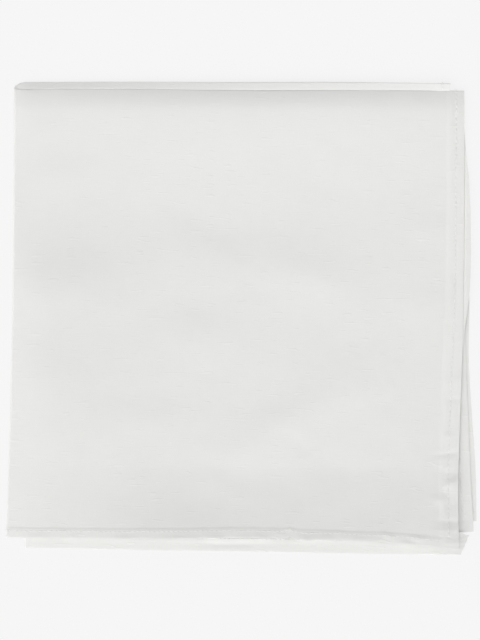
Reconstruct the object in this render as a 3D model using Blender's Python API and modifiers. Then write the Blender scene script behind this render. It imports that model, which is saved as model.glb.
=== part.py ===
"""A white cotton handkerchief, lying folded in quarters.

One hemmed square of cloth. Its first fold runs along the top of the packet and its second down the left side, so
four layers lie on each other, with their hemmed edges free at the right and along the bottom. +X points right, +Y to
the first fold and +Z up from the surface that the packet lies on.
"""

import math

import bmesh
import bpy
import numpy as np

MM = 0.001

# The cloth, in millimetres
LAYER_THICKNESS = 1.0
HEM_THICKNESS = 1.3
SIDE_HEM_WIDTH = 6.5
END_HEM_WIDTH = 4.5
HEM_STEP_WIDTH = 0.8

# The stack: how far one layer's middle lies above the next. The hems lift it, between these distances from the
# packet's middle, towards the right and towards the bottom.
PANEL_PITCH = 1.4
HEM_PITCH = 1.7
LIFT_START = 62.0
LIFT_END = 82.0

# The grid that is folded
BEND_STEPS = 8
PANEL_STEPS = 12
NEAR_FOLD = (1.5, 3.5, 6.5, 12.0)
SIDE_LENGTH = 214.0
END_LENGTH = 216.0

# Outlines in millimetres from the middle of the packet, at even steps along each edge.
# Folds: the first is read from left to right, the second from the top down. A bundle is two layers that share the
# first fold; the outer layers share the second fold with each other, and so do the inner ones.
FIRST_FOLD = {
    "upper bundle": (108.1, 108.3, 107.6, 107.6, 107.1),
    "lower bundle": (111.4, 111.6, 111.7, 111.8, 110.6),
}
SECOND_FOLD = {
    "outer layers": (-107.5, -107.8, -108.4, -109.6, -111.2),
    "inner layers": (-106.1, -106.3, -105.8, -104.5, -101.8),
}
# Hems: the side hem is read from the first fold down, the end hem from the second fold to the right.
HEMS = {
    "first layer": {
        "side": (105.4, 105.2, 104.9, 104.0, 103.3),
        "end": (-103.8, -104.6, -104.1, -105.8, -109.8),
    },
    "second layer": {
        "side": (105.4, 107.8, 106.4, 104.7, 104.1),
        "end": (-109.5, -110.3, -110.6, -111.2, -111.9),
    },
    "third layer": {
        "side": (98.6, 101.9, 105.2, 107.1, 105.5),
        "end": (-109.5, -107.9, -106.5, -106.9, -110.3),
    },
    "fourth layer": {
        "side": (98.6, 102.8, 106.6, 110.2, 109.3),
        "end": (-103.8, -102.7, -101.7, -101.3, -101.5),
    },
}

# The lower bundle slips out past the upper one over this much cloth, counted from the second fold's edge.
SLIP_REACH = 8.0
QUARTER_BEND = 2.5

# Low swells of the loosely pressed stack. Middle, half length, half width, turn from +X, and rise as a share of the
# stack's height there; the lowest layer stays flat.
SWELLS = (
    {"x": 0.0, "y": 97.0, "length": 110.0, "width": 11.0, "turn": 0.0, "rise": 0.16},
    {"x": 42.0, "y": 10.0, "length": 42.0, "width": 17.0, "turn": -8.0, "rise": 0.13},
    {"x": 26.0, "y": -50.0, "length": 44.0, "width": 15.0, "turn": 31.0, "rise": 0.15},
    {"x": -88.0, "y": 28.0, "length": 24.0, "width": 13.0, "turn": 0.0, "rise": 0.12},
    {"x": -50.0, "y": -62.0, "length": 40.0, "width": 16.0, "turn": -6.0, "rise": 0.10},
    {"x": 88.0, "y": 6.0, "length": 15.0, "width": 11.0, "turn": 20.0, "rise": 0.12},
)

COTTON_WHITE = (0.80, 0.80, 0.785, 1.0)
COTTON_ROUGHNESS = 0.9


def curve_through(values, shares):
    """The smooth curve through evenly spaced values, read at shares from 0 to 1 of the way along it."""
    values = np.asarray(values, float)
    slopes = np.gradient(values)
    place = shares * (len(values) - 1)
    before = np.minimum(place.astype(int), len(values) - 2)
    t = place - before
    start = (2 * t**3 - 3 * t**2 + 1) * values[before] + (t**3 - 2 * t**2 + t) * slopes[before]
    end = (3 * t**2 - 2 * t**3) * values[before + 1] + (t**3 - t**2) * slopes[before + 1]
    return start + end


def smooth_step(value, start, end):
    """0 before start and 1 after end, with a smooth rise between."""
    t = np.clip((value - start) / (end - start), 0, 1)
    return t * t * (3 - 2 * t)


def stations(length, hem_width):
    """One line of the grid across a fold, from hem to hem: the angle round the bend, which is -90 degrees on the
    lower side and 90 on the upper, and the share of the way from the bend to the hemmed edge."""
    panel = np.linspace(NEAR_FOLD[-1], length - hem_width - HEM_STEP_WIDTH, PANEL_STEPS + 1)[1:]
    flat = np.concatenate([NEAR_FOLD, panel, [length - hem_width, length]]) / length
    bend = np.linspace(-math.pi / 2, math.pi / 2, BEND_STEPS + 1)
    quarter = np.full(len(flat), math.pi / 2)
    angle = np.concatenate([-quarter, bend, quarter])
    share = np.concatenate([flat[::-1], np.zeros(len(bend)), flat])
    return angle, share


def pitch_at(x, y):
    """The distance between the middles of neighbouring layers, larger along the two hemmed sides."""
    flat = (1 - smooth_step(x, LIFT_START, LIFT_END)) * (1 - smooth_step(-y, LIFT_START, LIFT_END))
    return HEM_PITCH + (PANEL_PITCH - HEM_PITCH) * flat


def swell_at(x, y):
    """How much the stack is raised by its low swells, as a share of its height."""
    total = np.zeros_like(x)
    for swell in SWELLS:
        turn = math.radians(swell["turn"])
        dx, dy = x - swell["x"], y - swell["y"]
        along = (dx * math.cos(turn) + dy * math.sin(turn)) / swell["length"]
        across = (dy * math.cos(turn) - dx * math.sin(turn)) / swell["width"]
        total += swell["rise"] * np.exp(-(along**2) - across**2)
    return total


def folded(side_angle, side_share, end_angle, end_share):
    """Where points of the flat cloth lie in the packet. The side stations count from the second fold, along X, and
    the end stations from the first fold, along Y. Heights are from the middle of the lowest layer."""
    # How far a point belongs to the upper bundle, and to the two outer layers
    below_edge = np.clip(-np.sin(side_angle), 0, 1) * QUARTER_BEND + np.where(
        side_angle < 0, side_share * SIDE_LENGTH, 0
    )
    upper = 1 - smooth_step(below_edge, 0, SLIP_REACH)
    outer = (1 + np.sin(end_angle)) / 2

    def between(share, over, under):
        return share * over + (1 - share) * under

    def hem(edge, share):
        first, second, third, fourth = (curve_through(row[edge], share) for row in HEMS.values())
        return between(upper, between(outer, first, second), between(outer, fourth, third))

    top = between(upper, *(curve_through(row, side_share) for row in FIRST_FOLD.values()))
    left = between(outer, *(curve_through(row, end_share) for row in SECOND_FOLD.values()))
    x = between(side_share, hem("side", end_share), left)
    y = between(end_share, hem("end", side_share), top)

    # Each bend turns inside its outline, by half a thickness and its own radius.
    pitch = pitch_at(x, y)
    first_radius = pitch / 2
    second_radius = pitch * (0.5 + outer)
    x += (1 - side_share) * (LAYER_THICKNESS / 2 + second_radius * (1 - np.cos(side_angle)))
    y -= (1 - end_share) * (LAYER_THICKNESS / 2 + first_radius * (1 - np.cos(end_angle)))
    height = 1.5 * pitch + second_radius * np.sin(side_angle)
    return x, y, height * (1 + swell_at(x, y))


def cotton():
    material = bpy.data.materials.new("white_cotton")
    material.use_nodes = True
    shader = material.node_tree.nodes["Principled BSDF"]
    shader.inputs["Base Color"].default_value = COTTON_WHITE
    shader.inputs["Roughness"].default_value = COTTON_ROUGHNESS
    shader.inputs["Metallic"].default_value = 0.0
    return material


def handkerchief():
    """The folded sheet: a flat grid moved to its folded place, then thickened, and thicker at the hems."""
    side_angle, side_share = stations(SIDE_LENGTH, SIDE_HEM_WIDTH)
    end_angle, end_share = stations(END_LENGTH, END_HEM_WIDTH)
    columns, rows = len(side_angle), len(end_angle)

    mesh = bpy.data.meshes.new("handkerchief_cloth")
    grid = bmesh.new()
    bmesh.ops.create_grid(grid, x_segments=columns - 1, y_segments=rows - 1, size=1)
    grid.to_mesh(mesh)
    grid.free()

    flat = np.empty(len(mesh.vertices) * 3)
    mesh.vertices.foreach_get("co", flat)
    flat = flat.reshape(-1, 3)
    column = np.rint((flat[:, 0] + 1) / 2 * (columns - 1)).astype(int)
    row = np.rint((flat[:, 1] + 1) / 2 * (rows - 1)).astype(int)
    x, y, z = folded(side_angle[column], side_share[column], end_angle[row], end_share[row])

    from_side_hem = SIDE_LENGTH * (1 - side_share[column]) - SIDE_HEM_WIDTH
    from_end_hem = END_LENGTH * (1 - end_share[row]) - END_HEM_WIDTH
    in_hem = np.minimum(from_side_hem, from_end_hem) < HEM_STEP_WIDTH / 2
    z = z + np.where(in_hem, HEM_THICKNESS, LAYER_THICKNESS) / 2
    x = x - (x.min() + x.max()) / 2
    y = y - (y.min() + y.max()) / 2
    mesh.vertices.foreach_set("co", (np.stack([x, y, z], axis=1) * MM).ravel())

    sheet = bpy.data.objects.new("handkerchief_cloth", mesh)
    hem = sheet.vertex_groups.new(name="hem")
    hem.add([int(i) for i in np.flatnonzero(in_hem)], 1.0, "REPLACE")
    thickness = sheet.modifiers.new("thickness", "SOLIDIFY")
    thickness.thickness = HEM_THICKNESS * MM
    thickness.offset = 0
    thickness.vertex_group = hem.name
    thickness.thickness_vertex_group = LAYER_THICKNESS / HEM_THICKNESS
    mesh.materials.append(cotton())
    mesh.shade_smooth()
    return sheet


def main():
    for left_over in list(bpy.data.objects):
        bpy.data.objects.remove(left_over)
    collection = bpy.data.collections.new("cotton_handkerchief")
    bpy.context.scene.collection.children.link(collection)
    collection.objects.link(handkerchief())


main()
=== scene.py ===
"""The looks of a white cotton handkerchief that lies folded in quarters.

The cloth is one thin sheet, folded twice over the same lines as the solid of the frame: the first fold runs
along the top of the packet and the second down its left side. A second piece is the stitching of its hems.
Positions on the flat cloth are signed distances from the two folds, in millimetres: "side" is counted from
the second fold, and is above zero on the two upper layers, and "end" is counted from the first fold, and is
above zero on the two outer layers. Positions in the packet are millimetres from its middle, X to the right
and Y up the picture.
"""

import math

import bmesh
import bpy
import numpy as np
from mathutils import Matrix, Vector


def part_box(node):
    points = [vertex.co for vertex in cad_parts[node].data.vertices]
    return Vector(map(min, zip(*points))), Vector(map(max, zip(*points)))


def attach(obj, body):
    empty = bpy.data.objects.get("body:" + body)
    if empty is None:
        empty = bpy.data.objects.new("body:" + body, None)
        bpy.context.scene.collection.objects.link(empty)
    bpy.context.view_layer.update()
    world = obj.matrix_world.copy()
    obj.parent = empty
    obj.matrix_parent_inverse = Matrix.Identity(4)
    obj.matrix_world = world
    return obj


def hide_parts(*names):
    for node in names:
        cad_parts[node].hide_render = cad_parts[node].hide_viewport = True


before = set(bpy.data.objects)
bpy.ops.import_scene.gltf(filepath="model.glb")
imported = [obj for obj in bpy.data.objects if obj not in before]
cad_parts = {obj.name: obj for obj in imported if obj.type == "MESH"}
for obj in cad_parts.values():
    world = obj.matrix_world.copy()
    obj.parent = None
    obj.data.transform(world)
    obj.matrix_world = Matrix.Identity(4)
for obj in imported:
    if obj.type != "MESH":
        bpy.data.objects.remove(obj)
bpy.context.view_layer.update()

MM = 0.001
NODE = "handkerchief_cloth"

# The cloth: its two flat lengths from fold to edge, and how thick it is
SIDE_LENGTH = 214.0
END_LENGTH = 216.0
QUARTER_BEND = 2.5
CLOTH_THICKNESS = 0.24
HEM_THICKNESS = 0.48

# Hems. The side hem is wider towards the loose corners: its width by the first fold and there, and the
# stretch, as a share of the way down, over which it widens. The second layer's end hem is wider than the
# others, from these distances from the folds on. The stitches run in grooves at their own distances inside
# the hems' inner edges.
SIDE_HEM_WIDTH = (7.6, 8.4)
SIDE_HEM_WIDENS = (0.45, 0.62)
END_HEM_WIDTH = 4.7
SECOND_END_HEM_WIDTH = 7.2
SIDE_HEM_STEP = 3.0
END_HEM_STEP = 1.1
SIDE_STITCH_INSET = 3.6
END_STITCH_INSET = 1.2
GROOVE_WIDTH = 0.55
SIDE_GROOVE = 0.22
END_GROOVE = 0.16
SECOND_LAYER_ENDS = (-8.0, 4.0)

# Where two hems cross, the corner gets this share of the thinner one's extra thickness. A hem is a little
# thinner at its very edge. The first layer's end hem turns up towards its edge, and its side hem down.
CORNER_SHARE = 0.5
EDGE_ROUNDING = 0.5
EDGE_THINNER = 0.2
END_EDGE_LIFT = 0.05
SIDE_EDGE_FALL = 0.08
SIDE_FALL_REACH = 1.8

# Height of one layer over the next: in the panel, under the side hems, and at the two folds, where the first
# fold is pressed flatter towards its right end. Each change runs over the distances given, from the packet's
# middle. By the first fold the lower layers rise more nearly as far as the first one over the swells.
PANEL_PITCH = 0.60
SIDE_PITCH = 0.56
SECOND_FOLD_PITCH = 0.38
FIRST_FOLD_PITCH = (0.48, 0.34)
FIRST_FOLD_ENDS = (-100.0, 100.0)
SIDE_LIFT = (84.0, 99.0)
FIRST_FOLD_PRESS = (97.5, 111.0)
SECOND_FOLD_PRESS = (90.0, 111.0)
FOLD_TOGETHER = 1.2

# The stack rises towards the bottom hems: the stretch, the power that it grows with, how far one layer then
# lies further over the next, and the stretches over which it grows from the left and fades to the right. The
# second layer stays close under the first. Past the first layer's edges the other layers sink, by so much a
# millimetre.
END_RISE_STRETCH = (71.0, 110.0)
END_RISE_POWER = 1.3
END_RISE = 1.35
END_RISE_FROM_LEFT = (-92.0, -45.0)
LEFT_END_SHARE = 0.35
END_RISE_TO_RIGHT = (88.0, 106.0)
RIGHT_END_SHARE = 0.25
END_SINK_RATE = (0.040, 0.025)
SIDE_SINK_RATE = 0.012
SINK_REACH = 8.0

# The lower bundle's first fold shows as a strip past the upper one. It comes up between these distances past
# the upper fold, sooner by its left end, by so much and by a share of the swells, and less where the second
# fold presses it. Its edge lies higher or lower than that, read from left to right at even steps.
STRIP_STEP = (-0.6, 0.15)
STRIP_SOONER = 0.45
STRIP_SOONER_ENDS = (-101.0, -82.0)
STRIP_STEP_RISE = 1.12
STRIP_SWELL_SHARE = 0.17
STRIP_PRESSED_SHARE = 0.25
STRIP_EDGE = 3.4
STRIP_EDGE_RISE = (-0.95, -0.17, 0.48, 0.93, 1.22)

# The upper bundle stands off the lower one along the right side, towards the loose corners. Above that, the
# second layer's hem comes up beside the first layer's edge.
GAPE = 0.6
GAPE_ACROSS = (86.0, 103.0)
GAPE_DOWN = (-20.0, 100.0)
SECOND_HEM_RISE = 0.42
SECOND_HEM_RISE_ACROSS = (0.0, 0.9)
SECOND_HEM_RISE_ENDS = (-8.0, 6.0)

# The second layer's corner sticks out to the right below the first layer's
CORNER_REACH = 5.6
CORNER_TOP = (102.0, 102.8)
CORNER_BOTTOM = 114.5
CORNER_FROM_EDGE = 12.0
CORNER_FALL = 0.27

# Outlines, at even steps along each edge. The first fold is read from left to right, the second from the top
# down, the side hems from the first fold down and the end hems from the second fold to the right.
FIRST_FOLD = {
    "upper bundle": (107.85, 107.9, 107.2, 107.3, 107.0),
    "lower bundle": (111.3, 111.4, 111.2, 111.2, 110.4),
}
SECOND_FOLD = {
    "outer layers": (-107.8, -108.1, -108.7, -109.9, -111.5),
    "inner layers": (-106.1, -106.3, -105.9, -104.8, -102.4),
}
HEMS = {
    "first layer": {
        "side": (105.2, 105.2, 105.1, 104.9, 104.5, 103.8, 102.8, 102.1, 102.5),
        "end": (-104.3, -104.6, -104.7, -104.5, -104.2, -104.7, -105.9, -107.0, -109.9),
    },
    "second layer": {
        "side": (
            *(105.2, 105.2, 105.9, 107.4, 108.1, 108.3, 108.3, 107.6, 105.8),
            *(104.5, 103.6, 103.0, 102.6, 102.3, 102.0, 101.9, 102.3),
        ),
        "end": (-109.1, -109.9, -110.6, -111.6, -112.2),
    },
    "third layer": {
        "side": (98.6, 100.4, 101.9, 103.6, 105.2, 106.0, 107.1, 108.2, 109.7),
        "end": (-108.9, -107.9, -106.5, -104.6, -101.5),
    },
    "fourth layer": {
        "side": (98.6, 101.5, 104.0, 106.8, 107.7, 107.4, 108.8, 110.6, 111.1),
        "end": (-103.8, -102.7, -101.7, -100.5, -96.5),
    },
}

# The stretches of the packet that the first layer's end and side hems run over, and how far past the second
# fold the cloth has slipped from the upper bundle's outline to the lower one's
END_HEM_SPAN = (-108.0, 104.0)
SIDE_HEM_SPAN = (108.0, -105.0)
SLIP_REACH = 6.5

# Low swells of the stack: middle, half length, half width, turn from +X in degrees, and how far they raise
# the first layer; the layers below it rise less
SWELLS = (
    {"x": 0.0, "y": 102.5, "length": 170.0, "width": 29.0, "turn": 0.0, "rise": 2.95},
    {"x": -98.0, "y": 98.0, "length": 24.0, "width": 22.0, "turn": 0.0, "rise": -0.50},
    {"x": -110.0, "y": 97.0, "length": 10.0, "width": 12.0, "turn": 0.0, "rise": 1.30},
    {"x": 0.0, "y": 46.0, "length": 90.0, "width": 14.0, "turn": 0.0, "rise": -0.35},
    {"x": -84.0, "y": 66.0, "length": 16.0, "width": 8.0, "turn": 0.0, "rise": 0.40},
    {"x": -96.0, "y": 13.0, "length": 40.0, "width": 17.0, "turn": 0.0, "rise": 1.75},
    {"x": -96.0, "y": -20.0, "length": 40.0, "width": 25.0, "turn": 0.0, "rise": 1.20},
    {"x": -98.0, "y": -50.0, "length": 44.0, "width": 35.0, "turn": 0.0, "rise": 1.60},
    {"x": 31.0, "y": 18.0, "length": 22.0, "width": 11.0, "turn": -8.0, "rise": 0.75},
    {"x": -20.0, "y": 26.0, "length": 50.0, "width": 12.0, "turn": 0.0, "rise": 0.30},
    {"x": -25.0, "y": -11.0, "length": 24.0, "width": 11.0, "turn": 0.0, "rise": 0.60},
    {"x": -40.0, "y": -49.0, "length": 26.0, "width": 8.0, "turn": 4.0, "rise": 0.35},
    {"x": 27.5, "y": -45.0, "length": 36.0, "width": 11.0, "turn": 33.0, "rise": 0.95},
    {"x": -34.0, "y": -106.0, "length": 26.0, "width": 16.0, "turn": 0.0, "rise": 0.60},
    {"x": 10.0, "y": -64.0, "length": 20.0, "width": 12.0, "turn": 0.0, "rise": 0.45},
    {"x": 42.0, "y": -72.0, "length": 14.0, "width": 9.0, "turn": 10.0, "rise": -0.30},
    {"x": 90.0, "y": -88.0, "length": 16.0, "width": 26.0, "turn": 0.0, "rise": 1.10},
    {"x": 72.0, "y": -104.0, "length": 20.0, "width": 14.0, "turn": 0.0, "rise": 0.85},
    {"x": -14.0, "y": -104.0, "length": 44.0, "width": 14.0, "turn": 0.0, "rise": 0.45},
    {"x": 89.0, "y": 6.0, "length": 12.0, "width": 8.0, "turn": 15.0, "rise": 0.40},
    {"x": 87.0, "y": 42.0, "length": 11.0, "width": 7.0, "turn": 0.0, "rise": 0.40},
)

# The swells are flatter on the side hems, between these distances from the packet's middle
SIDE_FLATTER = (96.0, 106.0)
SIDE_FLATTER_SHARE = 0.5

# Faint unevenness of the stack all over: how many soft rises and dips, and the ranges of their places, half
# sizes, turn and rise
FAINT_SEED = 5
FAINT_COUNT = 90
FAINT_X = (-108, 98)
FAINT_Y = (-96, 92)
FAINT_LENGTH = (5.0, 16.0)
FAINT_WIDTH = (3.5, 8.0)
FAINT_TURN = (-35.0, 35.0)
FAINT_RISE = (-0.20, 0.20)

# Puckers of the stitched hems, with the same columns, and "tail", the half width on their lower side where it
# differs
FIRST_LAYER_PUCKERS = (
    {"x": 102.0, "y": -29.3, "length": 4.0, "width": 1.4, "tail": 4.0, "turn": 5.0, "rise": 0.20},
    {"x": 101.5, "y": -39.0, "length": 5.0, "width": 1.5, "turn": 0.0, "rise": -0.22},
    {"x": 97.6, "y": -55.4, "length": 2.6, "width": 1.3, "tail": 3.5, "turn": 10.0, "rise": 0.30},
    {"x": 98.0, "y": -64.4, "length": 4.6, "width": 1.3, "turn": 8.0, "rise": -0.44},
    {"x": 97.0, "y": -73.6, "length": 4.0, "width": 1.4, "turn": 0.0, "rise": -0.15},
    {"x": 99.6, "y": -78.2, "length": 4.6, "width": 1.7, "tail": 5.0, "turn": 24.0, "rise": 0.80},
    {"x": 93.5, "y": -86.2, "length": 4.0, "width": 1.6, "tail": 2.4, "turn": -8.0, "rise": 0.34},
    {"x": 97.5, "y": -96.6, "length": 5.0, "width": 1.0, "turn": -4.0, "rise": -0.34},
    {"x": 97.5, "y": -101.0, "length": 7.5, "width": 2.2, "tail": 7.0, "turn": 0.0, "rise": 0.50},
    {"x": 99.0, "y": -106.6, "length": 3.5, "width": 1.0, "turn": 0.0, "rise": 0.20},
    {"x": 83.0, "y": -104.6, "length": 3.6, "width": 1.1, "turn": -10.0, "rise": 0.30},
    {"x": 77.5, "y": -107.0, "length": 2.6, "width": 1.4, "turn": -10.0, "rise": 0.32},
    {"x": 69.0, "y": -103.4, "length": 3.0, "width": 1.2, "turn": -20.0, "rise": 0.28},
    {"x": 55.0, "y": -105.0, "length": 8.0, "width": 1.8, "turn": -4.0, "rise": 0.26},
    {"x": 39.0, "y": -104.7, "length": 4.2, "width": 1.9, "turn": 0.0, "rise": 0.40},
    {"x": 30.0, "y": -104.6, "length": 3.8, "width": 2.0, "turn": 0.0, "rise": 0.42},
    {"x": 22.6, "y": -103.0, "length": 2.6, "width": 1.2, "turn": -52.0, "rise": -0.26},
    {"x": 9.5, "y": -104.3, "length": 3.6, "width": 1.7, "turn": 0.0, "rise": 0.34},
    {"x": 1.7, "y": -104.3, "length": 2.8, "width": 1.6, "turn": 0.0, "rise": 0.30},
    {"x": -12.5, "y": -104.5, "length": 4.2, "width": 1.9, "turn": -6.0, "rise": 0.42},
    {"x": -28.0, "y": -104.7, "length": 8.0, "width": 1.7, "turn": 0.0, "rise": 0.28},
    {"x": -56.3, "y": -104.6, "length": 5.0, "width": 1.7, "turn": 0.0, "rise": 0.28},
    {"x": -79.5, "y": -104.3, "length": 1.8, "width": 1.6, "turn": 0.0, "rise": 0.30},
    {"x": -97.0, "y": -104.0, "length": 4.6, "width": 1.6, "turn": 0.0, "rise": 0.28},
)
STITCH_PINCHES = (
    {"x": 98.4, "y": -25.5, "length": 3.2, "width": 0.7, "turn": 86.0, "rise": 0.14},
    {"x": 96.8, "y": -31.5, "length": 2.4, "width": 0.7, "turn": 88.0, "rise": 0.13},
    {"x": 99.2, "y": -32.0, "length": 1.6, "width": 0.7, "turn": 70.0, "rise": 0.12},
    {"x": 96.8, "y": -44.0, "length": 4.0, "width": 0.7, "turn": 92.0, "rise": 0.15},
    {"x": 98.4, "y": -54.4, "length": 2.4, "width": 0.6, "turn": -8.0, "rise": -0.12},
    {"x": 96.6, "y": -56.6, "length": 1.6, "width": 0.6, "turn": 60.0, "rise": 0.12},
    {"x": 94.0, "y": -63.4, "length": 3.6, "width": 0.7, "turn": 4.0, "rise": 0.14},
    {"x": 97.4, "y": -71.0, "length": 2.8, "width": 0.8, "turn": -6.0, "rise": 0.15},
    {"x": 95.4, "y": -82.0, "length": 2.2, "width": 0.8, "turn": 70.0, "rise": -0.12},
    {"x": 95.0, "y": -90.5, "length": 2.6, "width": 1.0, "turn": 80.0, "rise": 0.14},
    {"x": 99.4, "y": -88.6, "length": 3.0, "width": 0.9, "turn": 16.0, "rise": -0.12},
)
SECOND_LAYER_PUCKERS = (
    {"x": -5.0, "y": -107.3, "length": 15.0, "width": 1.3, "turn": -1.0, "rise": -0.32},
)

# How far the first layer's end hem is pushed up the packet at places along it, with the half width of each
# push
EDGE_WAVES = (
    {"x": 22.4, "width": 1.5, "push": 1.3},
    {"x": 30.5, "width": 3.0, "push": -0.5},
    {"x": 46.0, "width": 1.8, "push": 0.6},
    {"x": 14.5, "width": 1.6, "push": 0.5},
    {"x": 5.6, "width": 1.2, "push": 0.4},
    {"x": -6.0, "width": 2.6, "push": 0.35},
    {"x": -18.5, "width": 1.4, "push": 0.4},
    {"x": -47.0, "width": 3.0, "push": 0.35},
    {"x": -70.0, "width": 4.0, "push": 0.3},
    {"x": -88.0, "width": 2.6, "push": 0.3},
    {"x": 66.0, "width": 2.0, "push": 0.5},
)

# Small dimples along the side hem's stitches, near the first fold: how many, the stretch that they lie in,
# their middle place, how far they stray from it and along the hem, their half size and depth, and how much
# those vary
DIMPLE_SEED = 11
DIMPLE_COUNT = 22
DIMPLE_STRETCH = (18.0, 100.0)
DIMPLE_MIDDLE = 101.3
DIMPLE_SPREAD = 0.9
DIMPLE_STRAY = 1.5
DIMPLE_SIZE = (0.9, 0.7)
DIMPLE_DEPTH = -0.33
DIMPLE_LENGTHS = (0.6, 1.3)
DIMPLE_WIDTHS = (0.8, 1.4)
DIMPLE_DEPTHS = (0.2, 1.3)
DIMPLE_TURN = (-40, 40)

# Grid lines over the flat cloth: each zone ends at a distance from the fold and has its own step. They are
# closest in the bends, the hems, and the part of the first layer that is puckered.
SIDE_ZONES = (
    {"to": -208.0, "step": 0.8},
    {"to": -20.0, "step": 6.0},
    {"to": -2.5, "step": 2.0},
    {"to": 2.5, "step": 0.42},
    {"to": 12.0, "step": 1.6},
    {"to": 186.0, "step": 1.8},
    {"to": 206.0, "step": 1.1},
    {"to": 216.5, "step": 0.5},
)
END_ZONES = (
    {"to": -204.0, "step": 0.7},
    {"to": -12.0, "step": 6.0},
    {"to": -7.5, "step": 1.5},
    {"to": -2.5, "step": 0.33},
    {"to": 2.5, "step": 0.42},
    {"to": 6.0, "step": 0.6},
    {"to": 14.0, "step": 1.4},
    {"to": 136.0, "step": 3.2},
    {"to": 209.0, "step": 1.0},
    {"to": 218.5, "step": 0.45},
)

# An edge of the sheet that turns by more degrees than this is shaded as a sharp one
SHARP_ANGLE = 55

# Stitching. A stitch gets thinner and dips into the cloth towards its ends, by shares of the thread's radius,
# and its middle stands out of the cloth by another. The cloth's slant at a stitch is taken from places so far
# to either side.
STITCH_PITCH = 2.3
STITCH_LENGTH = 2.1
THREAD_RADIUS = 0.13
THREAD_TAPER = 0.35
THREAD_DIP = 0.9
THREAD_OUT = 0.4
STITCH_SIDES = 6
STITCH_RINGS = 4
SLANT_STEP = 0.2

# The cotton: how many times a metre its threads, slubs and faint clouds change along the cloth's two ways,
# the noise's range that each is read from, and how far each shifts the tone from halfway between the two
# whites
WEFT = {"scale": (110, 1900), "tone": 0.012}
WARP = {"scale": (1900, 70), "tone": 0.004}
CLOUDS = {"scale": (22, 45), "tone": 0.008}
NOISE_RANGE = (0.3, 0.7)
NOISE_ROUGHNESS = 0.55
SLUB_SCALE = (120, 760)
SLUB_RANGE = (0.715, 0.77)
SLUB_TONE = 0.025
DARKER_WHITE = (0.548, 0.548, 0.536, 1)
LIGHTER_WHITE = (0.965, 0.964, 0.950, 1)

# The cotton's bump: heights of the threads and the slubs, and the bump node's own values
THREAD_HEIGHT = 0.6
SLUB_HEIGHT = 6.0
BUMP_STRENGTH = 0.25
BUMP_DISTANCE = 0.05 * MM

# Values on the shaders' own sockets
COTTON_SURFACE = {
    "Roughness": 0.9,
    "Specular IOR Level": 0.2,
    "Sheen Weight": 0.05,
    "Sheen Roughness": 0.6,
    "Subsurface Weight": 1.0,
    "Subsurface Radius": (1.0, 1.0, 1.0),
    "Subsurface Scale": 0.3 * MM,
}
THREAD_SURFACE = {"Base Color": (0.84, 0.84, 0.83, 1), "Roughness": 0.6, "Sheen Weight": 0.2}
GROUND_SURFACE = {
    "Base Color": (0.12, 0.12, 0.12, 1),
    "Roughness": 1.0,
    "Specular IOR Level": 0.0,
    "Emission Color": (1, 1, 1, 1),
    "Emission Strength": 0.79,
}

# The ground's half size and level in metres, and the light: its strength, its width and turns in degrees, and
# the strength of the even light
GROUND_REACH = 6.0
GROUND_LEVEL = -0.05 * MM
LIGHT_STRENGTH = 2.5
LIGHT_WIDTH = 90
LIGHT_TURNS = (50, 0, -22)
EVEN_LIGHT_STRENGTH = 0.58

# The picture: size in pixels, millimetres per pixel, and the packet's middle in it
PICTURE = (480, 640)
MM_PER_PIXEL = 0.4736
MIDDLE_PIXEL = (241.9, 317.2)
CAMERA_HEIGHT = 1.5
SENSOR = 36.0


def curve_through(values, shares):
    """The smooth curve through evenly spaced values, read at shares from 0 to 1 of the way along it."""
    values = np.asarray(values, float)
    slopes = np.gradient(values)
    place = shares * (len(values) - 1)
    before = np.minimum(place.astype(int), len(values) - 2)
    t = place - before
    start = (2 * t**3 - 3 * t**2 + 1) * values[before] + (t**3 - 2 * t**2 + t) * slopes[before]
    end = (3 * t**2 - 2 * t**3) * values[before + 1] + (t**3 - t**2) * slopes[before + 1]
    return start + end


def share_of(value, start, end):
    """How far a value is on its way from start to end: 0 before start and 1 after end."""
    return np.clip((value - start) / (end - start), 0, 1)


def smooth_step(value, start, end):
    """0 before start and 1 after end, with a smooth rise between."""
    t = share_of(value, start, end)
    return t * t * (3 - 2 * t)


def pressed(value, stretch):
    """How far a place is pressed down by a fold: 0 before the stretch and 1 at its end, steepest there."""
    return share_of(value, *stretch) ** 2


def between(share, over, under):
    """The mix of two values: over where share is 1, and under where it is 0."""
    return share * over + (1 - share) * under


def station(distance, length):
    """The angle round a fold, from -90 to 90 degrees, and the share of the way from the fold to the edge."""
    angle = np.clip(distance / QUARTER_BEND, -1, 1) * math.pi / 2
    share = np.clip((np.abs(distance) - QUARTER_BEND) / length, 0, 1)
    return angle, share


def first_layer_edges(x, y):
    """How far a place lies past the first layer's edges: past its end hem, and past its side hem."""
    end = curve_through(HEMS["first layer"]["end"], share_of(x, *END_HEM_SPAN))
    side = curve_through(HEMS["first layer"]["side"], share_of(y, *SIDE_HEM_SPAN))
    return end - y, x - side


def end_rise_at(x, y, past_end):
    """How much further one layer lies over the next because of the rise towards the bottom hems."""
    rise = share_of(-np.maximum(y, y + past_end), *END_RISE_STRETCH) ** END_RISE_POWER
    left = between(smooth_step(x, *END_RISE_FROM_LEFT), 1.0, LEFT_END_SHARE)
    right = between(smooth_step(x, *END_RISE_TO_RIGHT), RIGHT_END_SHARE, 1.0)
    return END_RISE * (rise * (left * right))


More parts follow.
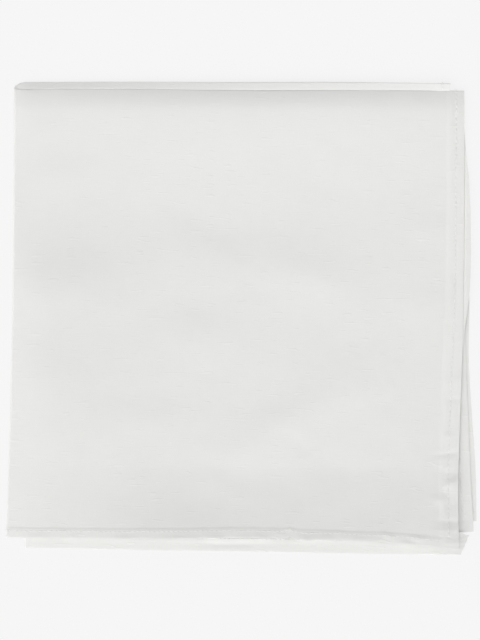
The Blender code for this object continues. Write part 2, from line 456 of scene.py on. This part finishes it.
def pitch_at(x, y, first):
    """The height of one layer over the next, and how much of it is the rise towards the bottom. first is 1 on
    the first layer, which doesn't sink past its edges."""
    past_end, past_side = first_layer_edges(x, y)
    end_rise = end_rise_at(x, y, past_end)
    pitch = between(smooth_step(x, *SIDE_LIFT), SIDE_PITCH, PANEL_PITCH) + end_rise
    left_rate, right_rate = END_SINK_RATE
    end_rate = between(smooth_step(x, *END_RISE_FROM_LEFT), right_rate, left_rate)
    sink = end_rate * np.clip(past_end, 0, SINK_REACH)
    sink += SIDE_SINK_RATE * np.clip(past_side, 0, SINK_REACH)
    pitch = np.maximum(pitch - (1 - first) * sink, np.minimum(pitch, HEM_THICKNESS))

    left_pitch, right_pitch = FIRST_FOLD_PITCH
    fold_pitch = between(smooth_step(x, *FIRST_FOLD_ENDS), right_pitch, left_pitch)
    pitch = between(pressed(y, FIRST_FOLD_PRESS), fold_pitch, pitch)
    pitch = between(pressed(-x, SECOND_FOLD_PRESS), SECOND_FOLD_PITCH, pitch)
    return pitch, end_rise


def bumps_at(x, y, table):
    """The sum of the soft oval rises in a table of them."""
    total = np.zeros_like(x)
    for bump in table:
        turn = math.radians(bump["turn"])
        dx, dy = x - bump["x"], y - bump["y"]
        along = (dx * math.cos(turn) + dy * math.sin(turn)) / bump["length"]
        across = dy * math.cos(turn) - dx * math.sin(turn)
        across = across / np.where(across > 0, bump["width"], bump.get("tail", bump["width"]))
        total += bump["rise"] * np.exp(-(along**2) - across**2)
    return total


def dimples():
    """Rows of small dimples at uneven places along the side hem's stitches."""
    chance = np.random.default_rng(DIMPLE_SEED)
    rows = []
    for y in np.linspace(*DIMPLE_STRETCH, DIMPLE_COUNT):
        rows.append(
            {
                "x": DIMPLE_MIDDLE + chance.uniform(-DIMPLE_SPREAD, DIMPLE_SPREAD),
                "y": y + chance.uniform(-DIMPLE_STRAY, DIMPLE_STRAY),
                "length": DIMPLE_SIZE[0] * chance.uniform(*DIMPLE_LENGTHS),
                "width": DIMPLE_SIZE[1] * chance.uniform(*DIMPLE_WIDTHS),
                "turn": chance.uniform(*DIMPLE_TURN),
                "rise": DIMPLE_DEPTH * chance.uniform(*DIMPLE_DEPTHS),
            }
        )
    return rows


def faint_unevenness():
    """Rows of faint soft rises and dips, spread over the whole packet."""
    chance = np.random.default_rng(FAINT_SEED)
    return [
        {
            "x": chance.uniform(*FAINT_X),
            "y": chance.uniform(*FAINT_Y),
            "length": chance.uniform(*FAINT_LENGTH),
            "width": chance.uniform(*FAINT_WIDTH),
            "turn": chance.uniform(*FAINT_TURN),
            "rise": chance.uniform(*FAINT_RISE),
        }
        for _ in range(FAINT_COUNT)
    ]


DIMPLES = dimples()
FAINT_UNEVENNESS = faint_unevenness()


def corner_nudge(side, y):
    """How far the second layer's corner is pushed out to the right, from its top edge down."""
    near_edge = smooth_step(side, SIDE_LENGTH - CORNER_FROM_EDGE, SIDE_LENGTH)
    taper = share_of(-y, CORNER_BOTTOM, CORNER_TOP[1])
    return CORNER_REACH * near_edge * smooth_step(-y, *CORNER_TOP) * taper


def edge_waves(x):
    """How far the first layer's end hem is pushed up the packet."""
    return sum(wave["push"] * np.exp(-(((x - wave["x"]) / wave["width"]) ** 2)) for wave in EDGE_WAVES)


def outline_place(side_share, end_share, upper, outer):
    """Where the folds and hems of its own layer put a place on the cloth, before the bends take any of it."""

    def hem(edge, share):
        first, second, third, fourth = (curve_through(row[edge], share) for row in HEMS.values())
        return between(upper, between(outer, first, second), between(outer, fourth, third))

    top = between(upper, *(curve_through(row, side_share) for row in FIRST_FOLD.values()))
    left = between(outer, *(curve_through(row, end_share) for row in SECOND_FOLD.values()))
    x = between(side_share, hem("side", end_share), left)
    y = between(end_share, hem("end", side_share), top)
    return x, y


def swells_at(x, y):
    """How far the swells raise the first layer, flatter on the side hems and by the second fold."""
    swells = bumps_at(x, y, SWELLS) + bumps_at(x, y, FAINT_UNEVENNESS)
    swells *= between(smooth_step(x, *SIDE_FLATTER), SIDE_FLATTER_SHARE, 1.0)
    return swells * (1 - pressed(-x, SECOND_FOLD_PRESS))


def strip_rise_at(x, y, side_share, swells):
    """How far the lower bundle comes up past the upper one's first fold."""
    past_fold = y - curve_through(FIRST_FOLD["upper bundle"], side_share)
    to_edge = share_of(past_fold, STRIP_STEP[1], STRIP_EDGE)
    edge_rise = curve_through(STRIP_EDGE_RISE, side_share)
    rise = STRIP_STEP_RISE + STRIP_SWELL_SHARE * swells + edge_rise * to_edge
    rise *= 1 - STRIP_PRESSED_SHARE * pressed(-x, SECOND_FOLD_PRESS)
    sooner = STRIP_SOONER * (1 - smooth_step(x, *STRIP_SOONER_ENDS))
    return rise * smooth_step(past_fold + sooner, *STRIP_STEP)


def second_layer_rise(x, y, end_rise):
    """How far the second layer rises by itself: beside the first one's side hem, and close under its rise."""
    past_side = first_layer_edges(x, y)[1]
    above = 1 - smooth_step(-y, *SECOND_HEM_RISE_ENDS)
    rise = SECOND_HEM_RISE * smooth_step(past_side, *SECOND_HEM_RISE_ACROSS) * above
    rise += end_rise * (1 - pressed(-x, SECOND_FOLD_PRESS))
    return rise + bumps_at(x, y, SECOND_LAYER_PUCKERS)


def cloth_at(side, end):
    """Where the middle of the cloth's thickness lies in the packet, for places on the flat cloth."""
    side_angle, side_share = station(side, SIDE_LENGTH)
    end_angle, end_share = station(end, END_LENGTH)

    # How far a place belongs to the upper bundle, to the two outer layers, and to the first and second layer
    upper = 1 - smooth_step(-side, -QUARTER_BEND, SLIP_REACH)
    outer = (1 + np.sin(end_angle)) / 2
    first = upper * outer
    second = upper * (1 - outer)

    # Each bend turns inside its outline, by half a thickness and its own radius.
    x, y = outline_place(side_share, end_share, upper, outer)
    pitch, end_rise = pitch_at(x, y, first)
    first_radius = pitch / 2
    second_radius = pitch * (0.5 + outer)
    x += (1 - side_share) * (CLOTH_THICKNESS / 2 + second_radius * (1 - np.cos(side_angle)))
    y -= (1 - end_share) * (CLOTH_THICKNESS / 2 + first_radius * (1 - np.cos(end_angle)))

    # How high a layer lies in the stack: 1 for the first and 0 for the fourth, which stays flat
    order = (1.5 + (0.5 + outer) * np.sin(side_angle)) / 3
    swells = swells_at(x, y)
    relief = swells * (1 - pressed(y, FIRST_FOLD_PRESS)) + bumps_at(x, y, FIRST_LAYER_PUCKERS)
    relief += first * (edge_curl(side, end) + bumps_at(x, y, DIMPLES) + bumps_at(x, y, STITCH_PINCHES))
    relief_share = order * (1 + FOLD_TOGETHER * (1 - order) * pressed(y, FIRST_FOLD_PRESS))
    z = order * 3 * pitch + relief_share * relief + resting_height(side, end)

    # The bundles and the second layer by themselves
    z += (1 - upper) * strip_rise_at(x, y, side_share, swells)
    z += upper * GAPE * smooth_step(x, *GAPE_ACROSS) * smooth_step(-y, *GAPE_DOWN)
    z += second * second_layer_rise(x, y, end_rise)
    nudge = second * corner_nudge(side, y)
    y += first * smooth_step(end, END_LENGTH - END_HEM_WIDTH, END_LENGTH) * edge_waves(x)
    return np.stack([x + nudge, y, z - CORNER_FALL * nudge], axis=-1)


def side_hem_width(end):
    """The side hem is wider towards the loose corners."""
    share = np.abs(end) / (END_LENGTH + QUARTER_BEND)
    return between(smooth_step(share, *SIDE_HEM_WIDENS), SIDE_HEM_WIDTH[1], SIDE_HEM_WIDTH[0])


def end_hem_width(side, end):
    """The second layer's end hem is wider than the other layers' ones."""
    second = smooth_step(side, *SECOND_LAYER_ENDS) * smooth_step(-end, *SECOND_LAYER_ENDS)
    return between(second, SECOND_END_HEM_WIDTH, END_HEM_WIDTH)


def hem_inside(from_edge, width, step):
    """Whether a place lies in a hem: 0 for plain cloth and 1 for the whole hem."""
    return smooth_step(width + step / 2 - from_edge, 0, step)


def hem_profile(from_edge, width, step, inset, depth):
    """How thick a hem is at a distance from the cloth's edge: 0 for plain cloth and 1 for the whole hem."""
    groove = depth * np.exp(-(((from_edge - width + inset) / GROOVE_WIDTH) ** 2))
    edge = 1 - EDGE_THINNER * (1 - smooth_step(from_edge, 0, EDGE_ROUNDING))
    return hem_inside(from_edge, width, step) * (1 - groove) * edge


def crossed(side_hem, end_hem):
    """Two hems' shares of extra thickness together: above 1 in the corners, where they cross."""
    return np.maximum(side_hem, end_hem) + CORNER_SHARE * np.minimum(side_hem, end_hem)


def hem_share_at(side, end):
    """How thick the hems make the cloth: 0 for plain cloth, 1 in a hem, and more where two cross."""
    from_side = SIDE_LENGTH + QUARTER_BEND - np.abs(side)
    from_end = END_LENGTH + QUARTER_BEND - np.abs(end)
    side_hem = hem_profile(from_side, side_hem_width(end), SIDE_HEM_STEP, SIDE_STITCH_INSET, SIDE_GROOVE)
    end_hem = hem_profile(from_end, end_hem_width(side, end), END_HEM_STEP, END_STITCH_INSET, END_GROOVE)
    return crossed(side_hem, end_hem)


def resting_height(side, end):
    """Half of the thickness without the stitches' groove, so that the lowest layer's underside lies level."""
    side_hem = hem_inside(SIDE_LENGTH + QUARTER_BEND - np.abs(side), side_hem_width(end), SIDE_HEM_STEP)
    end_hem = hem_inside(END_LENGTH + QUARTER_BEND - np.abs(end), end_hem_width(side, end), END_HEM_STEP)
    return between(crossed(side_hem, end_hem), HEM_THICKNESS, CLOTH_THICKNESS) / 2


def edge_curl(side, end):
    """The first layer's end hem turns up a little towards its free edge, and its side hem down."""
    from_side = SIDE_LENGTH + QUARTER_BEND - np.abs(side)
    from_end = END_LENGTH + QUARTER_BEND - np.abs(end)
    up = END_EDGE_LIFT * (1 - smooth_step(from_end, 0, END_HEM_WIDTH))
    return up - SIDE_EDGE_FALL * (1 - smooth_step(from_side, 0, SIDE_FALL_REACH))


def thickness_at(side, end):
    return between(hem_share_at(side, end), HEM_THICKNESS, CLOTH_THICKNESS)


def grid_lines(start, zones):
    """Places of the grid lines, from start through each zone in about even steps."""
    lines = [start]
    for zone in zones:
        steps = max(1, round((zone["to"] - lines[-1]) / zone["step"]))
        lines.extend(np.linspace(lines[-1], zone["to"], steps + 1)[1:])
    return np.array(lines)


def outline_middle():
    """The middle of the box round the outlines, which lies at the middle of the frame's box."""
    sides = [value for row in HEMS.values() for value in row["side"]]
    ends = [value for row in HEMS.values() for value in row["end"]]
    low = np.array([min(SECOND_FOLD["outer layers"]), min(ends)])
    high = np.array([max(sides), max(FIRST_FOLD["lower bundle"])])
    return (low + high) / 2


def packet_place():
    """How far the packet's middle lies from the frame's origin, in millimetres."""
    low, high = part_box(NODE)
    middle = np.array([low[0] + high[0], low[1] + high[1]]) / 2 / MM
    return middle - outline_middle()


PLACE = np.array([*packet_place(), 0.0])


def node(tree, kind, **settings):
    """A new node, with its properties set and its inputs set or linked by name."""
    made = tree.nodes.new(kind)
    inputs = settings.pop("inputs", {})
    for name, value in settings.items():
        setattr(made, name, value)
    for name, value in inputs.items():
        if isinstance(value, bpy.types.NodeSocket):
            tree.links.new(value, made.inputs[name])
        else:
            made.inputs[name].default_value = value
    return made


def maths(tree, operation, first, second):
    """What a math node makes of two values or sockets."""
    return node(tree, "ShaderNodeMath", operation=operation, inputs={0: first, 1: second}).outputs[0]


def streaks(tree, cloth, scale, detail=2.0):
    """Noise along the threads: scale is how many times a metre it changes across the cloth's two ways."""
    stretched = node(
        tree, "ShaderNodeMapping", vector_type="POINT", inputs={"Vector": cloth, "Scale": (*scale, 1.0)}
    )
    noise = node(
        tree,
        "ShaderNodeTexNoise",
        inputs={
            "Vector": stretched.outputs[0],
            "Scale": 1.0,
            "Detail": detail,
            "Roughness": NOISE_ROUGHNESS,
        },
    )
    return noise.outputs["Fac"]


def ranged(tree, value, from_min, from_max, to_min, to_max):
    """A value moved from one range to another."""
    return node(
        tree,
        "ShaderNodeMapRange",
        inputs={
            "Value": value,
            "From Min": from_min,
            "From Max": from_max,
            "To Min": to_min,
            "To Max": to_max,
        },
    ).outputs[0]


def plain_material(name, values):
    """A material with these values on its shader's own sockets."""
    material = bpy.data.materials.new(name)
    material.use_nodes = True
    shader = material.node_tree.nodes["Principled BSDF"]
    for socket, value in values.items():
        shader.inputs[socket].default_value = value
    return material


def tone_shift(tree, noise, layer):
    """How far the noise of a layer of the cotton shifts its tone."""
    return ranged(tree, noise, *NOISE_RANGE, -layer["tone"], layer["tone"])


def cotton():
    """White plain-weave cotton: uneven threads, fine slubs along the weft, and light that passes through."""
    material = plain_material("white_cotton", COTTON_SURFACE)
    tree = material.node_tree
    shader = tree.nodes["Principled BSDF"]
    cloth = node(tree, "ShaderNodeUVMap", uv_map="flat_cloth").outputs[0]

    weft = streaks(tree, cloth, WEFT["scale"])
    warp = streaks(tree, cloth, WARP["scale"])
    slubs = ranged(tree, streaks(tree, cloth, SLUB_SCALE, detail=0.0), *SLUB_RANGE, 0.0, 1.0)
    clouds = streaks(tree, cloth, CLOUDS["scale"])
    tone = maths(tree, "ADD", tone_shift(tree, weft, WEFT), tone_shift(tree, warp, WARP))
    tone = maths(tree, "ADD", tone, maths(tree, "MULTIPLY", slubs, SLUB_TONE))
    tone = maths(tree, "ADD", tone, tone_shift(tree, clouds, CLOUDS))
    tone = maths(tree, "ADD", tone, 0.5)
    colours = node(tree, "ShaderNodeValToRGB")
    colours.color_ramp.elements[0].color = DARKER_WHITE
    colours.color_ramp.elements[1].color = LIGHTER_WHITE
    tree.links.new(tone, colours.inputs[0])
    tree.links.new(colours.outputs[0], shader.inputs["Base Color"])

    threads = maths(tree, "MULTIPLY", maths(tree, "ADD", weft, warp), THREAD_HEIGHT)
    height = maths(tree, "ADD", threads, maths(tree, "MULTIPLY", slubs, SLUB_HEIGHT))
    relief = {"Height": height, "Strength": BUMP_STRENGTH, "Distance": BUMP_DISTANCE}
    bump = node(tree, "ShaderNodeBump", inputs=relief)
    tree.links.new(bump.outputs[0], shader.inputs["Normal"])
    return material


def folded_grid():
    """A flat grid moved to its folded place, and where each of its points lies on the flat cloth."""
    sides = grid_lines(-SIDE_LENGTH - QUARTER_BEND, SIDE_ZONES)
    ends = grid_lines(-END_LENGTH - QUARTER_BEND, END_ZONES)
    mesh = bpy.data.meshes.new("cotton_sheet")
    grid = bmesh.new()
    bmesh.ops.create_grid(grid, x_segments=len(sides) - 1, y_segments=len(ends) - 1, size=1)
    grid.to_mesh(mesh)
    grid.free()

    unit = np.empty(len(mesh.vertices) * 3)
    mesh.vertices.foreach_get("co", unit)
    unit = unit.reshape(-1, 3)
    side = sides[np.rint((unit[:, 0] + 1) / 2 * (len(sides) - 1)).astype(int)]
    end = ends[np.rint((unit[:, 1] + 1) / 2 * (len(ends) - 1)).astype(int)]
    places = (cloth_at(side, end) + PLACE) * MM
    mesh.vertices.foreach_set("co", places.ravel())

    corners = np.empty(len(mesh.loops), dtype=np.int32)
    mesh.loops.foreach_get("vertex_index", corners)
    flat = mesh.uv_layers.new(name="flat_cloth")
    flat.data.foreach_set("uv", (np.stack([side[corners], end[corners]], axis=1) * MM).ravel())
    return mesh, side, end


def thicken(sheet, side, end):
    """Gives the sheet the cloth's thickness, and more at the hems."""
    hem = sheet.vertex_groups.new(name="hem")
    for vertex, share in enumerate(hem_share_at(side, end)):
        if share > 0:
            hem.add([vertex], float(share) / (1 + CORNER_SHARE), "REPLACE")
    thickest = between(1 + CORNER_SHARE, HEM_THICKNESS, CLOTH_THICKNESS)
    thickness = sheet.modifiers.new("thickness", "SOLIDIFY")
    thickness.thickness = thickest * MM
    thickness.offset = 0
    thickness.vertex_group = hem.name
    thickness.thickness_vertex_group = CLOTH_THICKNESS / thickest
    thickened = sheet.evaluated_get(bpy.context.evaluated_depsgraph_get())
    sheet.data = bpy.data.meshes.new_from_object(thickened)
    sheet.modifiers.clear()


def cloth_sheet():
    """The folded sheet, with its thickness and its cotton."""
    mesh, side, end = folded_grid()
    mesh.materials.append(cotton())
    mesh.shade_smooth()
    sheet = bpy.data.objects.new("cotton_sheet", mesh)
    bpy.context.scene.collection.objects.link(sheet)
    thicken(sheet, side, end)
    sheet.data.name = "cotton_sheet"
    sheet.data.set_sharp_from_angle(angle=math.radians(SHARP_ANGLE))
    return sheet


def stitch_lines():
    """The middles of the stitches on the flat cloth, and which way each runs: 0 along side, 1 along end."""
    side_edge = SIDE_LENGTH + QUARTER_BEND
    end_edge = END_LENGTH + QUARTER_BEND
    rows = []
    along_end = np.arange(-end_edge + END_HEM_WIDTH, end_edge - END_HEM_WIDTH, STITCH_PITCH)
    line = side_edge - side_hem_width(along_end) + SIDE_STITCH_INSET
    for sign in (-1, 1):
        rows.append(np.stack([sign * line, along_end, np.ones_like(along_end)], axis=1))
    along_side = np.arange(-side_edge + SIDE_HEM_WIDTH[1], side_edge - SIDE_HEM_WIDTH[1], STITCH_PITCH)
    for sign in (-1, 1):
        line = sign * (end_edge - end_hem_width(along_side, sign * end_edge) + END_STITCH_INSET)
        rows.append(np.stack([along_side, line, np.zeros_like(along_side)], axis=1))
    return np.concatenate(rows)


def unit_vectors(vectors):
    return vectors / np.linalg.norm(vectors, axis=-1, keepdims=True)


def frames_at(side, end, runs_along_end):
    """Where the cloth lies at each stitch, the way that the stitch runs, and the cloth's upward normal."""
    place = cloth_at(side, end)
    way_side = cloth_at(side + SLANT_STEP, end) - cloth_at(side - SLANT_STEP, end)
    way_end = cloth_at(side, end + SLANT_STEP) - cloth_at(side, end - SLANT_STEP)
    normal = unit_vectors(np.cross(way_end, way_side))
    way = unit_vectors(np.where(runs_along_end[:, None] > 0.5, way_end, way_side))
    return place, way, normal


def one_stitch():
    """Points of one stitch, as (along, across, up): a short thread that dips into the cloth at both ends."""
    shares = np.linspace(-1, 1, STITCH_RINGS)
    turns = np.arange(STITCH_SIDES) * 2 * math.pi / STITCH_SIDES
    along = np.repeat(shares * STITCH_LENGTH / 2, STITCH_SIDES)
    radius = np.repeat(THREAD_RADIUS * (1 - THREAD_TAPER * shares**4), STITCH_SIDES)
    dip = np.repeat(-THREAD_DIP * THREAD_RADIUS * np.abs(shares) ** 3, STITCH_SIDES)
    around = np.tile(turns, STITCH_RINGS)
    return np.stack([along, radius * np.cos(around), radius * np.sin(around) + dip], axis=1)


def stitch_faces():
    """The faces of one stitch, by the numbers of its points."""
    faces = []
    for ring in range(STITCH_RINGS - 1):
        for turn in range(STITCH_SIDES):
            following = (turn + 1) % STITCH_SIDES
            first, second = ring * STITCH_SIDES, (ring + 1) * STITCH_SIDES
            faces.append((first + turn, first + following, second + following, second + turn))
    faces.append(tuple(reversed(range(STITCH_SIDES))))
    faces.append(tuple(range((STITCH_RINGS - 1) * STITCH_SIDES, STITCH_RINGS * STITCH_SIDES)))
    return faces


def stitching():
    """The stitches of the four hems, on both faces of the cloth, as one piece."""
    side, end, runs_along_end = stitch_lines().T
    place, way, normal = frames_at(side, end, runs_along_end)
    across = np.cross(normal, way)
    over_cloth = thickness_at(side, end) / 2 + THREAD_RADIUS * THREAD_OUT
    shape, faces = one_stitch(), stitch_faces()
    points, polygons = [], []
    for face_side in (1, -1):
        for index in range(len(side)):
            up, sideways = normal[index] * face_side, across[index] * face_side
            middle = place[index] + PLACE + up * over_cloth[index]
            start = len(points) * len(shape)
            points.append(middle + shape @ np.stack([way[index], sideways, up]))
            polygons.extend([tuple(start + corner for corner in face) for face in faces])
    # The threads under the lowest layer are pressed flat.
    points = np.concatenate(points)
    points[:, 2] = np.maximum(points[:, 2], 0)
    mesh = bpy.data.meshes.new("hem_stitching")
    mesh.from_pydata((points * MM).tolist(), [], polygons)
    mesh.materials.append(plain_material("white_thread", THREAD_SURFACE))
    mesh.shade_smooth()
    piece = bpy.data.objects.new("hem_stitching", mesh)
    bpy.context.scene.collection.objects.link(piece)
    return piece


def ground():
    """A plain pale ground, lit evenly, so that hardly any shadow shows on it."""
    mesh = bpy.data.meshes.new("ground")
    signs = ((-1, -1), (1, -1), (1, 1), (-1, 1))
    corners = [(x * GROUND_REACH, y * GROUND_REACH, GROUND_LEVEL) for x, y in signs]
    mesh.from_pydata(corners, [], [(0, 1, 2, 3)])
    mesh.materials.append(plain_material("pale_ground", GROUND_SURFACE))
    piece = bpy.data.objects.new("ground", mesh)
    bpy.context.scene.collection.objects.link(piece)


def lights():
    """A wide soft light from the lower left, and even light from all round."""
    lamp = bpy.data.lights.new("soft_light", "SUN")
    lamp.energy = LIGHT_STRENGTH
    lamp.angle = math.radians(LIGHT_WIDTH)
    light = bpy.data.objects.new("soft_light", lamp)
    light.rotation_euler = [math.radians(turn) for turn in LIGHT_TURNS]
    bpy.context.scene.collection.objects.link(light)
    world = bpy.data.worlds.new("even_light")
    world.use_nodes = True
    world.node_tree.nodes["Background"].inputs["Color"].default_value = (1, 1, 1, 1)
    world.node_tree.nodes["Background"].inputs["Strength"].default_value = EVEN_LIGHT_STRENGTH
    bpy.context.scene.world = world
    bpy.context.scene.view_settings.view_transform = "Standard"


def camera():
    """Straight above, with the picture's middle where the photograph has it."""
    lens = bpy.data.cameras.new("camera")
    lens.sensor_width = SENSOR
    lens.lens = SENSOR * CAMERA_HEIGHT / (PICTURE[1] * MM_PER_PIXEL * MM)
    view = bpy.data.objects.new("camera", lens)
    x = (PICTURE[0] / 2 - MIDDLE_PIXEL[0]) * MM_PER_PIXEL + PLACE[0]
    y = (MIDDLE_PIXEL[1] - PICTURE[1] / 2) * MM_PER_PIXEL + PLACE[1]
    view.location = (x * MM, y * MM, CAMERA_HEIGHT)
    bpy.context.scene.collection.objects.link(view)
    bpy.context.scene.camera = view


def main():
    sheet = cloth_sheet()
    stitches = stitching()
    for piece in (sheet, stitches):
        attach(piece, "root")
    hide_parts(NODE)
    ground()
    lights()
    camera()


main()
